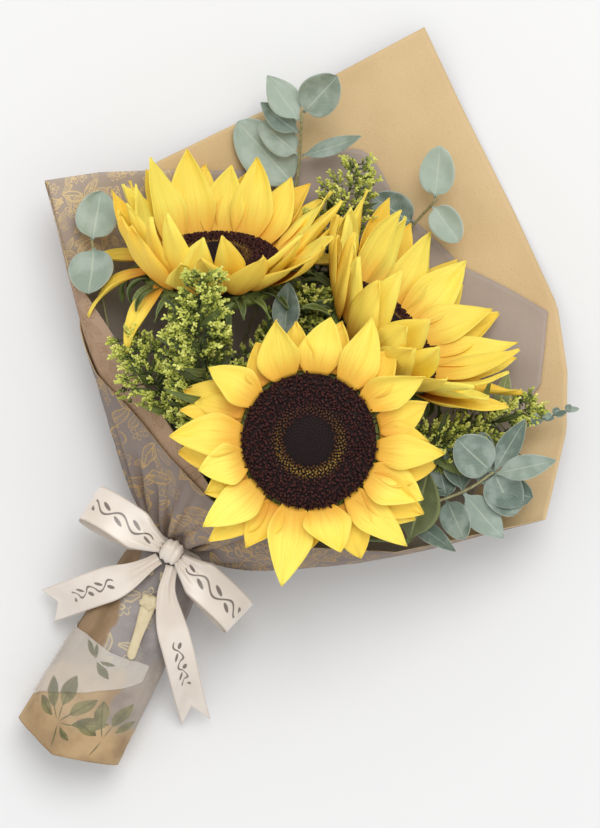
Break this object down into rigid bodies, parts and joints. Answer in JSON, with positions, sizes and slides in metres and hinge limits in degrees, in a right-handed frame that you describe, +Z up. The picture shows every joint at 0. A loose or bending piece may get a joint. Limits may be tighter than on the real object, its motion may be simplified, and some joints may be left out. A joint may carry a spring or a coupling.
{
  "type": "sunflower bouquet",
  "caption": "Hand-tied bunch of sunflowers with goldenrod and eucalyptus, lying down in kraft and lining paper, its stems sleeved and bound with a ribbon bow.",
  "frame": {"origin": "middle of the part's bounding box, on the table that the bunch lies on", "axes": "+Y along the bunch from the cut stem ends to the flower heads, +X to the right of the bow seen from above, +Z up from the table, the way the front sunflower faces"},
  "size_m": [0.336, 0.4588, 0.1377],
  "materials": {
    "kraft_paper": "matte",
    "lining_paper": "matte",
    "sleeve_paper": "matte",
    "vellum": "satin",
    "string": "matte",
    "ribbon": "satin",
    "petal": "matte",
    "disc": "matte",
    "bract": "matte",
    "stalk": "satin",
    "sprig": "matte",
    "eucalyptus": "matte",
    "leaf": "satin",
    "goldenrod": "matte"
  },
  "bodies": {
    "root": {"kraft_sheet": "kraft_paper", "lining_sheet": "lining_paper", "handle_sleeve": "sleeve_paper", "vellum_wrap": "vellum", "stem_tie": "string", "ribbon_band": "ribbon", "ribbon_knot": "ribbon", "ribbon_loop_left": "ribbon", "ribbon_loop_right": "ribbon", "ribbon_tail_left": "ribbon", "ribbon_tail_right": "ribbon", "disc_front": "disc", "petals_inner_front": "petal", "petals_outer_front": "petal", "bracts_front": "bract", "stalk_front": "stalk", "disc_left": "disc", "petals_inner_left": "petal", "petals_outer_left": "petal", "bracts_left": "bract", "stalk_left": "stalk", "disc_right": "disc", "petals_inner_right": "petal", "petals_outer_right": "petal", "bracts_right": "bract", "stalk_right": "stalk", "eucalyptus_stem_left": "sprig", "eucalyptus_leaf_left_1": "eucalyptus", "eucalyptus_leaf_left_2": "eucalyptus", "eucalyptus_stem_top": "sprig", "eucalyptus_leaf_top_1": "eucalyptus", "eucalyptus_leaf_top_2": "eucalyptus", "eucalyptus_leaf_top_3": "eucalyptus", "eucalyptus_leaf_top_4": "eucalyptus", "eucalyptus_leaf_top_5": "eucalyptus", "eucalyptus_leaf_top_6": "eucalyptus", "eucalyptus_stem_right": "sprig", "eucalyptus_leaf_right_1": "eucalyptus", "eucalyptus_leaf_right_2": "eucalyptus", "eucalyptus_leaf_right_3": "eucalyptus", "eucalyptus_stem_centre": "sprig", "eucalyptus_leaf_centre_1": "eucalyptus", "eucalyptus_leaf_centre_2": "eucalyptus", "eucalyptus_stem_lower": "sprig", "eucalyptus_leaf_lower_1": "eucalyptus", "eucalyptus_leaf_lower_2": "eucalyptus", "eucalyptus_leaf_lower_3": "eucalyptus", "eucalyptus_leaf_lower_4": "eucalyptus", "eucalyptus_leaf_lower_5": "eucalyptus", "eucalyptus_leaf_lower_6": "eucalyptus", "eucalyptus_tip_right": "eucalyptus", "leaf_front": "leaf", "leaf_right": "leaf", "goldenrod_low": "goldenrod", "goldenrod_middle": "goldenrod", "goldenrod_upper": "goldenrod", "goldenrod_centre": "goldenrod", "goldenrod_far": "goldenrod", "goldenrod_right": "goldenrod", "goldenrod_near": "goldenrod"}
  },
  "joints": []
}
